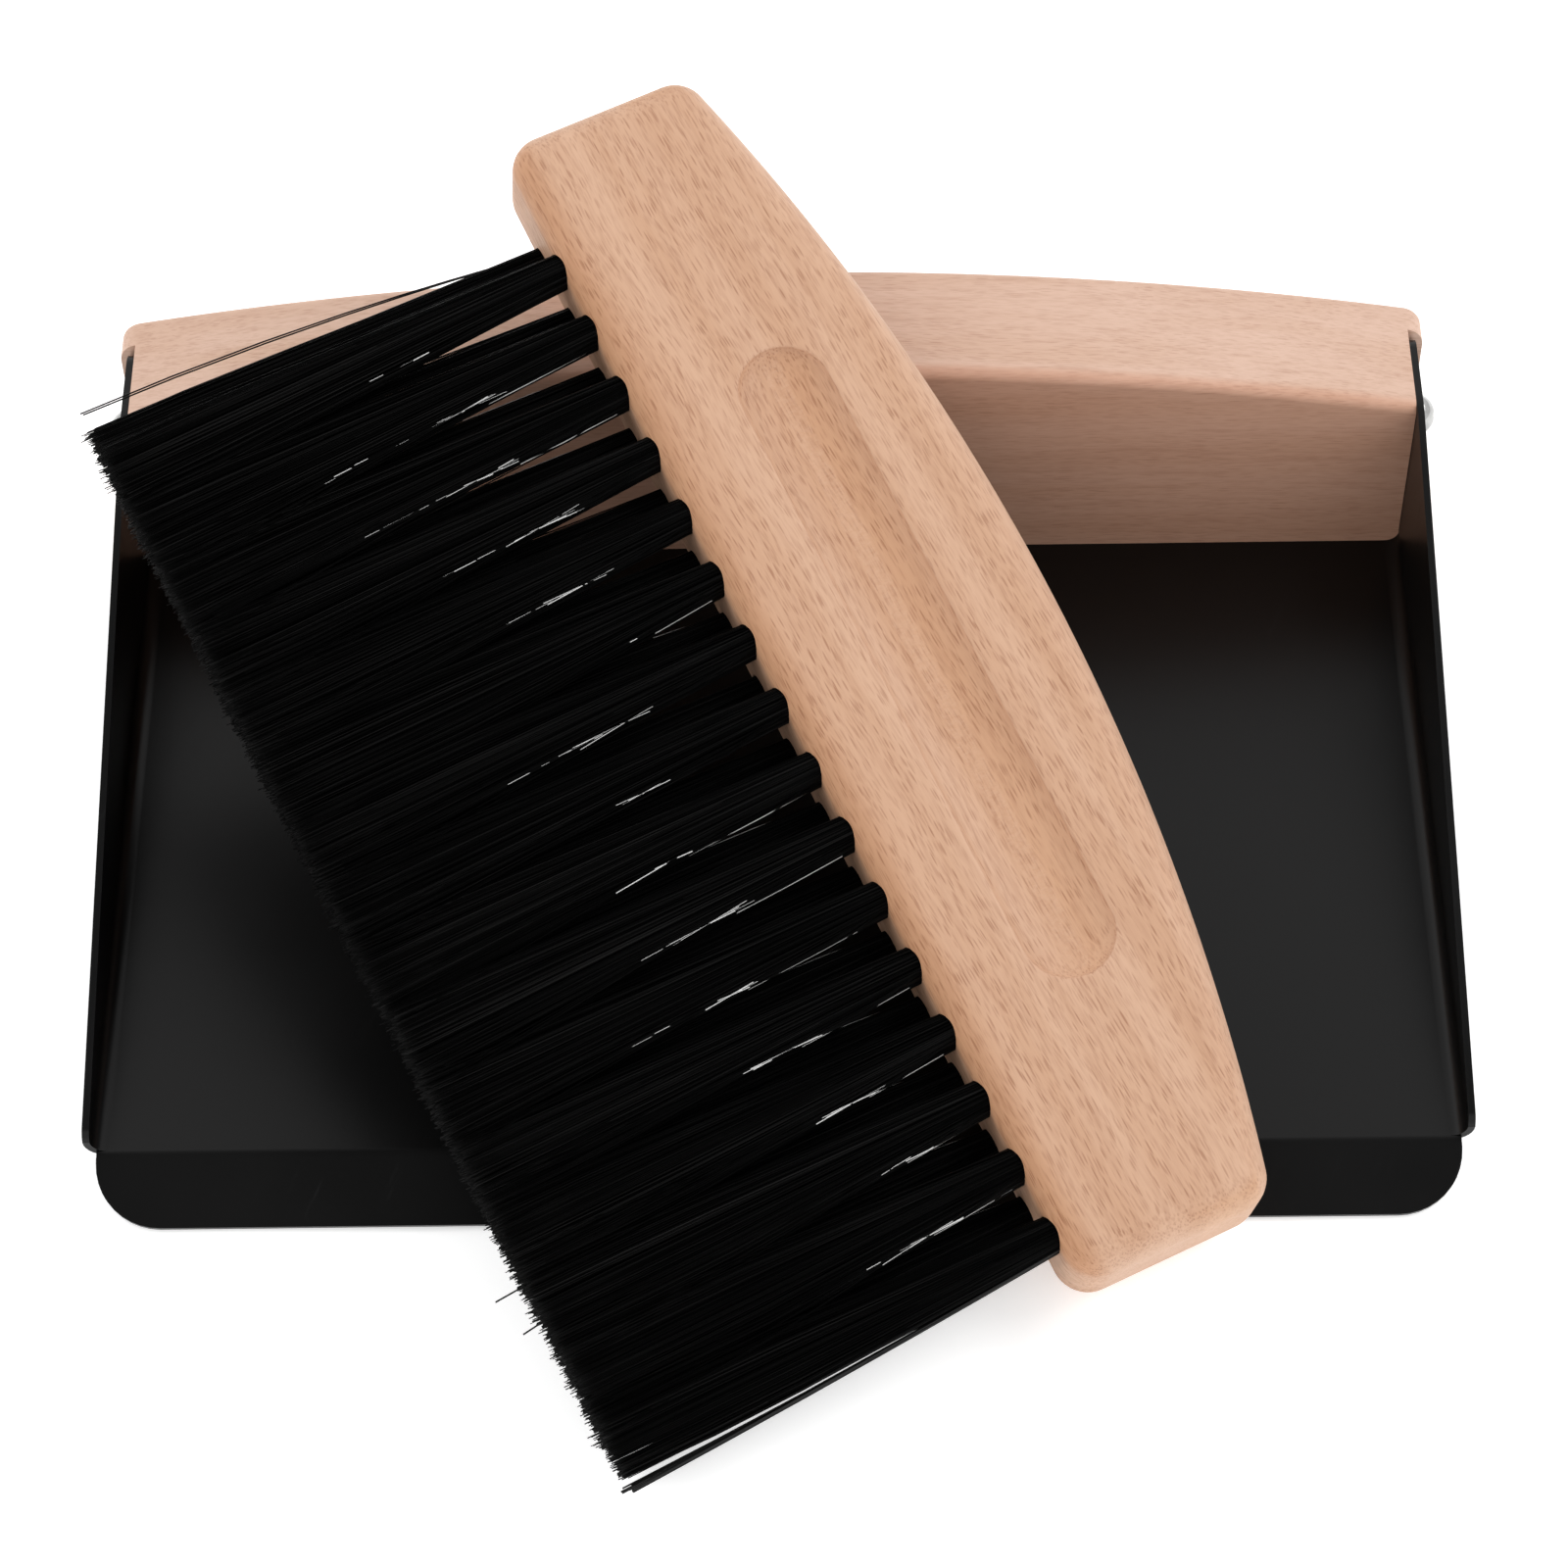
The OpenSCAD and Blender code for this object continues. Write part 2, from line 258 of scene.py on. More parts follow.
def wooden_block(name, size, rounding, pose):
    """An arched block with softly rounded edges, base along X, thickness along Z.

    size is its length, its width at the middle and at the ends, and its thickness, and rounding is
    that of its edges and its corners.
    """
    length, mid, end, thick = size
    edge, corner = rounding
    outline = block_outline(length, mid, end, corner)
    levels = []
    for k in range(9):
        a = math.radians(90 * k / 8)
        levels.append((edge * (1 - math.sin(a)), edge * (1 - math.cos(a))))
    levels += [(0.0, thick / 2)]
    levels += [(inset, thick - z) for inset, z in reversed(levels[:-1])]
    sections = [
        [(x - nx * inset, y - ny * inset, z) for (x, y), (nx, ny) in outline]
        for inset, z in levels
    ]
    return mesh_piece(name, *tube(sections), pose)


def box_shape(low, high):
    """Points and faces of a box."""
    x0, y0, z0 = low
    x1, y1, z1 = high
    lower = [(x0, y0, z0), (x1, y0, z0), (x1, y1, z0), (x0, y1, z0)]
    upper = [(x, y, z1) for x, y, z in lower]
    return tube([lower, upper])


def make_handle():
    """The handle's block, with a recess at each end for the sheet's wall and tab."""
    length = HANDLE_HIGH.x - HANDLE_LOW.x
    sunk = HANDLE_EDGE / 2   # the underside's edges are rounded only a little
    tab_room = HANDLE_HIGH.y - PAN_HIGH.y - HANDLE_GAP
    size = (length, HANDLE_MID + sunk, HANDLE_END + sunk, HANDLE_THICK)
    pose = turn(90, "X") @ Matrix.Translation(Vector((0, -sunk, -HANDLE_HIGH.y)) * MM)
    block = wooden_block("handle_block", size, (HANDLE_EDGE, HANDLE_CORNER), pose)
    # The block is made a little too high, and its underside is then cut flat
    cut(block, *box_shape((-length, -length, -length), (length, sunk, length)))
    for side in (-1, 1):
        inner = side * (PAN_HIGH.x - SHEET - HANDLE_GAP)
        outer = side * length
        cut(block, *box_shape(
            (min(inner, outer), FLOOR_TOP + WALL_BEND - HANDLE_GAP + sunk, tab_room),
            (max(inner, outer), length, length),
        ))
    finish_shape(block)
    return block


def groove_shape():
    """The space of the finger groove: a long dish with round ends and a softened rim."""
    half = GROOVE_WIDTH / 2
    reach = GROOVE_LENGTH / 2 - half
    rim_drop = GROOVE_RIM * 0.45
    bowl = half - GROOVE_RIM * 0.6
    sunk = GROOVE_DEPTH - rim_drop
    profile = [(0.02, -GROOVE_DEPTH)]
    for k in range(1, 12):
        angle = k / 11 * math.pi / 2
        profile.append((bowl * math.sin(angle), -sunk * math.cos(angle) ** 1.1 - rim_drop))
    for k in range(1, 6):
        angle = math.radians(90 * k / 5)
        profile.append((bowl + GROOVE_RIM * (1 - math.cos(angle)), -rim_drop * (1 - math.sin(angle))))
    profile.append((bowl + GROOVE_RIM * 1.1, 0.4))
    sections = []
    for radius, z in profile:
        ends = arc((reach, 0), radius, -90, 90, 20) + arc((-reach, 0), radius, 90, 270, 20)
        sections.append([(x + GROOVE_SHIFT, y + GROOVE_LINE, z + BRUSH_THICK) for (x, y), _ in ends])
    return tube(sections)


def tuft_x(i, row):
    """Place of a tuft's hole along the brush. Tufts are counted from 1, rows from 0."""
    return (i - (TUFTS + 1) / 2) * TUFT_PITCH + ROW_SHIFT[row]


def make_brush_block():
    """The brush's block, with its finger groove and its two rows of holes."""
    size = (BRUSH_LENGTH, BRUSH_MID, BRUSH_END, BRUSH_THICK)
    block = wooden_block("brush_body", size, (BRUSH_EDGE, BRUSH_CORNER), BRUSH_POSE)
    cut(block, *groove_shape())
    holes = []
    for row in (0, 1):
        for i in range(1, TUFTS + 1):
            centre = (tuft_x(i, row), ROW_Z[row])
            rings = [
                [(x, y, z) for (x, z), _ in arc(centre, TUFT_HOLE / 2, 0, 360, 40)[:-1]]
                for y in (HOLE_DEPTH, -1.0)
            ]
            holes.append(tube(rings))
    cut(block, *merge(holes))
    finish_shape(block)
    return block


# ---------------------------------------------------------------- pan


def wall_top(y):
    """Height of a wall's or a tab's top edge at the place y."""
    front_top = FLOOR_TOP + WALL_FRONT
    slope = math.atan((PAN_HIGH.z - front_top) / (FRONT_Y - FOLD_Y))
    low_end = front_top + WALL_CORNER * (math.tan(slope) - 1 / math.cos(slope))
    if y < FOLD_Y + WALL_CORNER * (1 - math.sin(slope)):
        top = low_end + math.sqrt(max(0, WALL_CORNER ** 2 - (y - FOLD_Y - WALL_CORNER) ** 2))
    elif y < FRONT_Y:
        top = front_top + math.tan(slope) * (y - FOLD_Y)
    elif y < PAN_HIGH.y - TAB_CORNER:
        top = PAN_HIGH.z
    else:
        past = y - (PAN_HIGH.y - TAB_CORNER)
        top = PAN_HIGH.z - TAB_CORNER + math.sqrt(max(0, TAB_CORNER ** 2 - past ** 2))
    return top


def pan_profile(y, floor_x):
    """Points across the pan at y: left wall top, down, across the floor and up the right wall."""
    outer_bend = WALL_BEND + SHEET
    bend_top = FLOOR_LIFT + outer_bend
    half = PAN_HIGH.x
    top = max(wall_top(y), bend_top + 0.15)
    wall = [(-half, top + (bend_top - top) * k / 5) for k in range(6)]
    bend = [p for p, _ in arc((outer_bend - half, bend_top), outer_bend, 180, 270, 7)][1:-1]
    left = wall + bend
    right = [(-x, z) for x, z in reversed(left)]
    return left + [(x, FLOOR_LIFT) for x in floor_x] + right


def lip_point(x, v):
    """Place on the lip's underside, v along it from the fold line, as a share of its length at x."""
    side = abs(x) - (LIP_WIDTH / 2 - LIP_CORNER)
    rounded = LIP_CORNER - math.sqrt(max(0, LIP_CORNER ** 2 - side ** 2)) if side > 0 else 0
    full_length = LIP_REACH / math.cos(LIP_ANGLE)
    fold = FOLD_ROUND * math.tan(LIP_ANGLE / 2)
    out = v * (full_length - rounded)
    if out < fold:
        drop = 0.5 * math.tan(LIP_ANGLE) * out * out / fold
    else:
        drop = (out - 0.5 * fold) * FLOOR_LIFT / (full_length - 0.5 * fold)
    return (x, FOLD_Y - out * math.cos(LIP_ANGLE), FLOOR_LIFT - drop)


class Skin:
    """Points and faces that share their points where they meet."""

    def __init__(self):
        self.points = []
        self.faces = []
        self.known = {}

    def point(self, place):
        key = tuple(round(c, 4) for c in place)
        if key not in self.known:
            self.known[key] = len(self.points)
            self.points.append(place)
        return self.known[key]

    def face(self, places):
        corners = [self.point(place) for place in places]
        if len(set(corners)) == 4:
            self.faces.append(tuple(corners))


def pan_stations():
    """Places where the pan's profile is taken: from the fold to the handle, and along the tabs."""
    front = [FOLD_Y + WALL_CORNER * (1 - math.cos(math.radians(90 * k / 8))) for k in range(9)]
    along = front + list(np.linspace(front[-1], FRONT_Y, 14)[1:])
    tab_flat = PAN_HIGH.y - TAB_CORNER
    corner = [tab_flat + TAB_CORNER * math.sin(math.radians(90 * k / 8)) for k in range(1, 9)]
    tab = list(np.linspace(FRONT_Y, tab_flat, 5)) + corner
    tab[-1] = PAN_HIGH.y
    return along, tab


def floor_looks_up(faces):
    """Whether the face nearest the middle of the floor's underside looks up."""
    def off_middle(face):
        centre = face.calc_center_median()
        return abs(centre.z - FLOOR_LIFT * MM) + abs(centre.x)

    return min(faces, key=off_middle).normal.z > 0


def make_pan():
    """The outer skin of the folded sheet, thickened inwards."""
    flat = PAN_HIGH.x - WALL_BEND - SHEET
    corner_angles = [math.radians(90 * k / 10) for k in range(11)]
    corner_x = [LIP_WIDTH / 2 - LIP_CORNER + LIP_CORNER * math.sin(a) for a in corner_angles]
    apart = 0.4   # least distance of a column from the start of the bend
    inner_x = [x for x in corner_x if x < flat - apart] + [flat]
    outer_x = [x for x in corner_x if x > flat + apart]
    middle_x = list(np.linspace(-inner_x[0], inner_x[0], 15)[1:-1])
    floor_x = [-x for x in reversed(inner_x)] + middle_x + inner_x
    lip_x = [-x for x in reversed(outer_x)] + floor_x + outer_x
    columns = len(pan_profile(FRONT_Y, floor_x))
    wall_columns = list(range(5)) + list(range(columns - 6, columns - 1))
    floor_columns = [c for c in range(columns - 1) if c not in wall_columns]
    skin = Skin()

    def cover(stations, used):
        """Faces from each station to the next, in some of the profile's columns."""
        rows = [[(x, y, z) for x, z in pan_profile(y, floor_x)] for y in stations]
        for near, far in zip(rows[:-1], rows[1:]):
            for c in used:
                skin.face((near[c + 1], far[c + 1], far[c], near[c]))

    along, tab = pan_stations()
    cover(along, range(columns - 1))
    cover(tab, wall_columns)
    cover([FRONT_Y, FRONT_Y + TUCK], floor_columns)

    # Lip: first round the fold, then straight down to the table
    down = [0, 0.02, 0.05, 0.1, 0.25, 0.4, 0.55, 0.7, 0.85, 1.0]
    rows = [[lip_point(x, v) for x in lip_x] for v in down]
    for high, low in zip(rows[:-1], rows[1:]):
        for c in range(len(lip_x) - 1):
            skin.face((high[c], low[c], low[c + 1], high[c + 1]))

    pan = mesh_piece("pan_body", skin.points, skin.faces)
    face_outward(pan, floor_looks_up)
    thick = pan.modifiers.new("sheet", "SOLIDIFY")
    thick.thickness = SHEET * MM
    thick.offset = -1
    thick.use_even_offset = True
    soft = pan.modifiers.new("edge", "BEVEL")
    soft.width = SHEET_EDGE * MM
    soft.segments = 3
    soft.limit_method = "ANGLE"
    soft.angle_limit = math.radians(50)
    settle(pan)
    finish_shape(pan)
    return pan


# ---------------------------------------------------------------- screws


def make_screw(name, node, side):
    """A dome-head screw with a cross recess, its axis along X."""
    low, high = box_mm(node)
    middle = (low + high) / 2
    seat = PAN_HIGH.x + 0.05                          # just clear of the sheet
    head = (high.z - low.z) / 2                       # radius of the head
    dome = (high.x if side > 0 else -low.x) - seat    # height of the head
    shank = 2.0                                       # radius of the shank
    rim = 0.35                                        # rounding of the head's edge
    profile = [(shank - 0.4, -12.0), (shank, -11.5), (shank, -0.02), (head - rim, 0.0)]
    profile += [(head - rim + rim * math.sin(a), rim - rim * math.cos(a)) for a in np.radians([30, 60, 90])]
    big = ((head ** 2) + (dome - rim) ** 2) / (2 * (dome - rim))
    reach = math.asin(head / big)
    for k in range(1, 12):
        a = reach * (1 - k / 12)
        profile.append((big * math.sin(a), dome - big + big * math.cos(a)))
    around = np.linspace(0, 2 * math.pi, 49)[:-1]
    sections = [[(h, r * math.cos(t), r * math.sin(t)) for t in around] for r, h in profile]
    pose = Matrix.Translation(Vector((side * seat, middle.y, middle.z)) * MM)
    if side < 0:
        pose = pose @ turn(180, "Z")
    screw = mesh_piece(name, *tube(sections), pose)
    face_outward(screw)
    # Cross recess, each of its two slots narrower towards its bottom
    long, narrow = 2.1, 0.45
    for angle in (45, 135):
        sections = []
        for depth, shrink in ((dome - 1.9, 0.4), (dome + 0.5, 1.0)):
            ring = []
            for a, b in ((-1, -1), (1, -1), (1, 1), (-1, 1)):
                across = Vector((0, a * long * shrink, b * narrow * (0.6 + 0.4 * shrink)))
                across.rotate(turn(angle, "X"))
                ring.append((depth, across.y, across.z))
            sections.append(ring)
        cut(screw, *tube(sections))
    finish_shape(screw, 35)
    return screw


# ---------------------------------------------------------------- bristles


def filaments(name, paths, radii, tones, pose):
    """A mesh of thin three-sided tubes. paths is (count, rings, 3), in millimetres."""
    count, rings, _ = paths.shape
    corner = np.radians([90, 210, 330])
    ring_shape = np.stack([np.cos(corner), np.zeros(3), np.sin(corner)], 1)
    points = paths[:, :, None, :] + ring_shape[None, None] * radii[:, :, None, None]
    points = points.reshape(-1, 3) * MM
    base = (np.arange(count) * rings * 3)[:, None, None]
    step = (np.arange(rings - 1) * 3)[None, :, None]
    k = np.arange(3)[None, None, :]
    a = base + step + k
    b = base + step + (k + 1) % 3
    quads = np.stack([a, b, b + 3, a + 3], -1).reshape(-1, 4)
    tip = (np.arange(count) * rings * 3 + (rings - 1) * 3)[:, None] + np.arange(3)[None]
    root = (np.arange(count) * rings * 3)[:, None] + np.array([2, 1, 0])[None]
    loops = np.concatenate([quads.ravel(), tip.ravel(), root.ravel()])
    sizes = np.concatenate([np.full(len(quads), 4), np.full(2 * count, 3)])
    starts = np.concatenate([[0], np.cumsum(sizes)[:-1]])
    mesh = bpy.data.meshes.new(name)
    mesh.vertices.add(len(points))
    mesh.vertices.foreach_set("co", points.ravel())
    mesh.loops.add(len(loops))
    mesh.loops.foreach_set("vertex_index", loops)
    mesh.polygons.add(len(sizes))
    mesh.polygons.foreach_set("loop_start", starts)
    mesh.polygons.foreach_set("use_smooth", np.ones(len(sizes), bool))
    mesh.update(calc_edges=True)
    tone = mesh.attributes.new("strand_tone", "FLOAT", "POINT")
    tone.data.foreach_set("value", np.repeat(tones.ravel(), 3))
    piece = bpy.data.objects.new(name, mesh)
    bpy.context.scene.collection.objects.link(piece)
    piece.matrix_world = pose
    return piece


STRANDS = 480            # bristles in one tuft
CLUMPS = 40              # small groups of them that cling together
STRAND_RADIUS = 0.125
ROOT_DEPTH = 3.0         # how deep in its hole a bristle starts
LOOSE_RADIUS = 0.17      # radius of the bristles that have come loose
GLINT_RADIUS = 0.10      # radius of those that catch the light
ALONG = np.array([0.0, 0.05, 0.12, 0.2, 0.3, 0.42, 0.6, 0.8, 1.0])   # a bristle's points, as shares
GLINT = 3.0              # tone of a bristle where it catches the light
DARK = 0.3               # tone of the same bristle elsewhere
GAP_SHARE = 0.37         # a gap seen from above closes at this share of the way to the meeting place
OUTER_HALF = 5.3         # half width of the outermost tufts' tips, towards the brush's ends


def tip_place(i, row):
    """Middle of a tuft's tips, along the rows and across them."""
    lean = TIP_LEAN[0] + (TIP_LEAN[1] - TIP_LEAN[0]) * (i - 1) / (TUFTS - 1)
    side = 1 if row == 0 else -1
    return tuft_x(i, row) + lean, BRUSH_THICK / 2 + TIP_RISE + side * (ROW_THICK + TIP_GAP) / 2


def tuft_length(i):
    """Length of tuft i's bristles outside the block."""
    return BRISTLE_LENGTH + BRISTLE_SKEW * (0.5 - (i - 1) / (TUFTS - 1))


def meeting_place(i):
    """Where tuft i meets the next one, as a share of the bristles' length."""
    soonest = 0.78 if i <= 3 else 0.42
    return np.random.default_rng(SEED + 100 + i).uniform(soonest, 1.0)


def tuft_paths(i, row, random):
    """Paths of one tuft's bristles: out of the round hole, fanning out until they meet the next tuft.

    The order of the random draws below is part of the look.
    """
    angle = random.random(STRANDS) * 2 * math.pi
    out = np.sqrt(random.random(STRANDS))
    disc = np.stack([out * np.cos(angle), out * np.sin(angle)], 1)
    square = disc * (1 + 0.22 * np.abs(np.sin(2 * angle))[:, None])
    clump = random.integers(0, CLUMPS, STRANDS)
    clump_middle = np.clip(random.normal(0, 0.55, (CLUMPS, 2)), -1, 1)
    cling = random.random((STRANDS, 1)) * 0.18
    spread = square * (1 - cling) + clump_middle[clump] * cling
    length = tuft_length(i) + 0.2 + random.normal(0, 0.35, STRANDS)
    length += random.normal(0, 0.45, CLUMPS)[clump]
    tip_x, tip_z = tip_place(i, row)
    hole = TUFT_HOLE / 2 - STRAND_RADIUS
    mouth_x = tuft_x(i, row) + disc[:, 0] * hole
    mouth_z = ROW_Z[row] + disc[:, 1] * hole
    half = np.full(STRANDS, TUFT_PITCH / 2 + 0.15)
    if i == 1:
        half[spread[:, 0] < 0] = OUTER_HALF
    if i == TUFTS:
        half[spread[:, 0] > 0] = OUTER_HALF
    end_x = tip_x + spread[:, 0] * half + random.normal(0, 0.15, STRANDS)
    end_z = tip_z + spread[:, 1] * ROW_THICK / 2 + random.normal(0, 0.15, STRANDS)
    bow = random.normal(0, 0.25, STRANDS)
    before, after = meeting_place(i - 1), meeting_place(i)
    meet = np.where(disc[:, 0] > 0, after, before) * random.uniform(0.97, 1.1, STRANDS)
    s = ALONG[None, :]
    fan = np.clip(s / meet[:, None], 0, 1) * 0.93 + 0.07 * s
    lean = tip_x - tuft_x(i, row)
    x = mouth_x[:, None] + lean * s + (end_x - lean - mouth_x)[:, None] * fan
    x += bow[:, None] * 4 * s * (1 - s) * s
    y = -length[:, None] * s
    z = mouth_z[:, None] * (1 - s) + end_z[:, None] * s
    paths = np.stack([x, y, z], 2)
    root = paths[:, :1].copy()
    root[:, 0, 1] = ROOT_DEPTH
    return np.concatenate([root, paths], 1)


def loose(start, end, bow):
    """One bristle of its own from start to end, bowed sideways."""
    start, end, bow = (np.array(v, float) for v in (start, end, bow))
    s = ALONG[:, None]
    path = start * (1 - s) + end * s + bow * (4 * s * (1 - s))
    root = start + np.array([0, ROOT_DEPTH, 0])
    return np.concatenate([root[None], path])


def loose_bristles(i, random):
    """The bristles that have come loose from tuft pair i, as paths."""
    paths = []
    if i == 1:
        x = tuft_x(1, 1) - 2.4
        paths.append(loose((x, 0, 6.0), (-96.6, -84.2, 12.8), (-1.4, 0, 0.5)))
        paths.append(loose((x + 0.3, 0, 6.6), (-96.0, -83.9, 13.3), (-1.2, 0, 0.5)))
    if i == 13:
        paths.append(loose((tuft_x(13, 1) + 2, 0, 5), (71.6, -84.5, 12), (1.2, 0, -0.5)))
    if i == 14:
        paths.append(loose((tuft_x(14, 1), 0, 5), (78.0, -82.6, 11), (-1.5, 0, -0.5)))
    if i == TUFTS:
        x = tuft_x(TUFTS, 0) + TUFT_HOLE / 2 - 0.3
        for _ in range(16):
            stray = random.uniform(0, 0.9), random.uniform(-1, 1.2), random.uniform(0, 4)
            end = (107.7 + stray[0], -78.6 + stray[1], 12.5 + stray[2])
            bow = (random.uniform(0.2, 0.7), 0, 0.3)
            paths.append(loose((x, 0, 14.0 + random.uniform(0, 3)), end, bow))
    return paths


def edge_bristle(i, row, side, start, rise, aside, lit):
    """A bristle along one side of a tuft, and its tones.

    start is how far inward of the hole's rim it begins, rise its height over the tuft's middle at the
    hole and further out, and aside the distance by which it strays sideways over its whole length.
    lit is the stretch where it catches the light, as shares of its length.
    """
    meet = meeting_place(i if side > 0 else i - 1)
    low, high = max(0.012, lit[0]), lit[1]
    s = np.sort([0.0, low - 0.004, low, high, high + 0.004, 0.15, 0.6, 0.8, 0.95])
    join = np.clip(s / 0.15, 0, 1)
    tip_x, tip_z = tip_place(i, row)
    edge = TUFT_HOLE / 2 + (TUFT_PITCH - TUFT_HOLE) / 2 * np.clip(s / meet, 0, 1)
    x = tuft_x(i, row) + (tip_x - tuft_x(i, row)) * s + side * (edge - start * (1 - join))
    x += aside * (s - GAP_SHARE * meet) * join
    z = ROW_Z[row] * (1 - s) + tip_z * s + rise[0] * (1 - join) + rise[1] * join
    path = np.stack([x, -tuft_length(i) * s, z], 1)
    tone = np.where((s > low - 0.002) & (s < high + 0.002), GLINT, DARK)
    root = path[:1] + np.array([[0, ROOT_DEPTH, 0]])
    return np.concatenate([root, path]), np.concatenate([tone[:1], tone])


def glinting(i, random):
    """The bristles beside the gap after tuft i that catch the light here and there."""
    shapes = []
    if i == TUFTS:
        return shapes
    closed = GAP_SHARE * meeting_place(i)
    if random.random() < 0.65:
        lit = (0.03, closed * random.uniform(0.7, 1.0))
        shapes.append(edge_bristle(i, 0, 1, 0.3, (0.2, 0.4), 0.0, lit))
        lit = (0.03, closed * random.uniform(0.8, 1.0))
        shapes.append(edge_bristle(i + 1, 1, -1, 0.3, (0.2, 0.4), 0.0, lit))
    for _ in range(random.choice([0, 3, 5, 8])):
        low = closed + random.uniform(-0.1, 0.02)
        lit = (low, low + random.uniform(0.03, 0.12))
        shapes.append(edge_bristle(i, 0, 1, 1.1, (2.1, 2.8), random.uniform(-6, 6), lit))
    low = closed
    for _ in range(random.integers(0, 8)):
        low += random.uniform(0.01, 0.06)
        lit = (low, low + random.uniform(0.012, 0.05))
        shapes.append(edge_bristle(i, 0, 1, 1.1, (2.1, 2.8), random.uniform(-1.5, 1.5), lit))
    return shapes


def make_bristles(i):
    """All bristles of tuft pair i in one piece."""
    random = np.random.default_rng(SEED + i)
    paths = np.concatenate([tuft_paths(i, row, random) for row in (0, 1)])
    rings = paths.shape[1]
    radii = STRAND_RADIUS * (0.8 + 0.45 * random.random(len(paths)))
    tones = np.clip(random.normal(0.4, 0.22, len(paths)), 0, 1)[:, None] * np.ones(rings)
    taper = np.concatenate([[1.0], np.where(ALONG < 0.9, 1.0, 0.75)])
    radii = radii[:, None] * taper
    for path in loose_bristles(i, random):
        paths = np.concatenate([paths, path[None]])
        radii = np.concatenate([radii, np.full((1, rings), LOOSE_RADIUS)])
        tones = np.concatenate([tones, np.full((1, rings), 0.7)])
    for path, tone in glinting(i, random):
        paths = np.concatenate([paths, path[None]])
        radii = np.concatenate([radii, np.full((1, rings), GLINT_RADIUS * random.uniform(0.6, 1.3))])
        tones = np.concatenate([tones, tone[None]])
    return filaments(f"bristles_{i:02d}", paths, radii, tones, BRUSH_POSE)


# ---------------------------------------------------------------- materials


class Nodes:
    """Builds a material's node tree."""

    def __init__(self, name):
        self.material = bpy.data.materials.new(name)
        self.material.use_nodes = True
        self.tree = self.material.node_tree
        self.shader = self.tree.nodes["Principled BSDF"]

    def add(self, kind, inputs=None, **settings):
        """A new node with the given inputs and settings."""
        node = self.tree.nodes.new(kind)
        for key, value in settings.items():
            setattr(node, key, value)
        for key, value in (inputs or {}).items():
            self.put(node, key, value)
        return node

    def put(self, node, key, value):
        """Sets an input, or links it when the value is another node's output."""
        if isinstance(value, bpy.types.NodeSocket):
            self.tree.links.new(value, node.inputs[key])
        else:
            node.inputs[key].default_value = value

    def scaled(self, scale, turned=0.0, moved=None):
        """The piece's own coordinates, turned about Z by some degrees, shifted, then scaled."""
        place = self.add("ShaderNodeTexCoord").outputs["Object"]
        if moved is not None:
            place = self.vector("ADD", place, moved)
        if turned:
            angle = (0.0, 0.0, math.radians(turned))
            place = self.add("ShaderNodeMapping", {"Vector": place, "Rotation": angle}).outputs["Vector"]
        return self.vector("MULTIPLY", place, scale)

    def place_part(self, axis):
        """One of the piece's own coordinates."""
        place = self.add("ShaderNodeTexCoord").outputs["Object"]
        return self.add("ShaderNodeSeparateXYZ", {"Vector": place}).outputs[axis]

    def vector(self, kind, a, b):
        """Two vectors put together, by the kind of sum."""
        return self.add("ShaderNodeVectorMath", {0: a, 1: b}, operation=kind).outputs[0]

    def noise(self, scale, detail=2.0, rough=0.5, turned=0.0, moved=None):
        """Soft noise from 0 to 1, with about scale waves a metre along each axis."""
        node = self.add("ShaderNodeTexNoise", {
            "Vector": self.scaled(scale, turned, moved), "Scale": 1.0, "Detail": detail, "Roughness": rough,
        })
        return node.outputs["Fac"]

    def wander(self, size, amount):
        """A slow random shift, for lines that should not run quite straight."""
        place = self.scaled((1 / size,) * 3)
        node = self.add("ShaderNodeTexNoise", {"Vector": place, "Scale": 1.0, "Detail": 1.0})
        centred = self.vector("SUBTRACT", node.outputs["Color"], (0.5, 0.5, 0.5))
        return self.vector("MULTIPLY", centred, (0.0, amount, amount))

    def ramp(self, value, low, high, start=0.0, end=1.0):
        """A smooth change from start to end while value goes from low to high."""
        node = self.add("ShaderNodeMapRange", {
            "Value": value, "From Min": low, "From Max": high, "To Min": start, "To Max": end,
        }, interpolation_type="SMOOTHSTEP")
        return node.outputs["Result"]

    def sum(self, kind, a, b):
        """Two numbers put together, by the kind of sum."""
        return self.add("ShaderNodeMath", {0: a, 1: b}, operation=kind).outputs[0]

    def mix(self, factor, a, b, blend="MIX"):
        """Colour a, turned into b or blended with it where factor is 1."""
        node = self.tree.nodes.new("ShaderNodeMix")
        node.data_type = "RGBA"
        node.blend_type = blend
        for key, value in ((0, factor), (6, a), (7, b)):
            self.put(node, key, value)
        return node.outputs[2]

    def bump(self, height, distance, strength):
        """Surface relief, distance high in metres."""
        node = self.add("ShaderNodeBump", {"Height": height, "Distance": distance, "Strength": strength})
        return node.outputs["Normal"]

    def finish(self, **inputs):
        """Sets the surface shader's inputs and gives the material."""
        for key, value in inputs.items():
            self.put(self.shader, key.replace("_", " "), value)
        return self.material


def colour(r, g, b):
    """A colour from its linear red, green and blue."""
    return (r, g, b, 1.0)


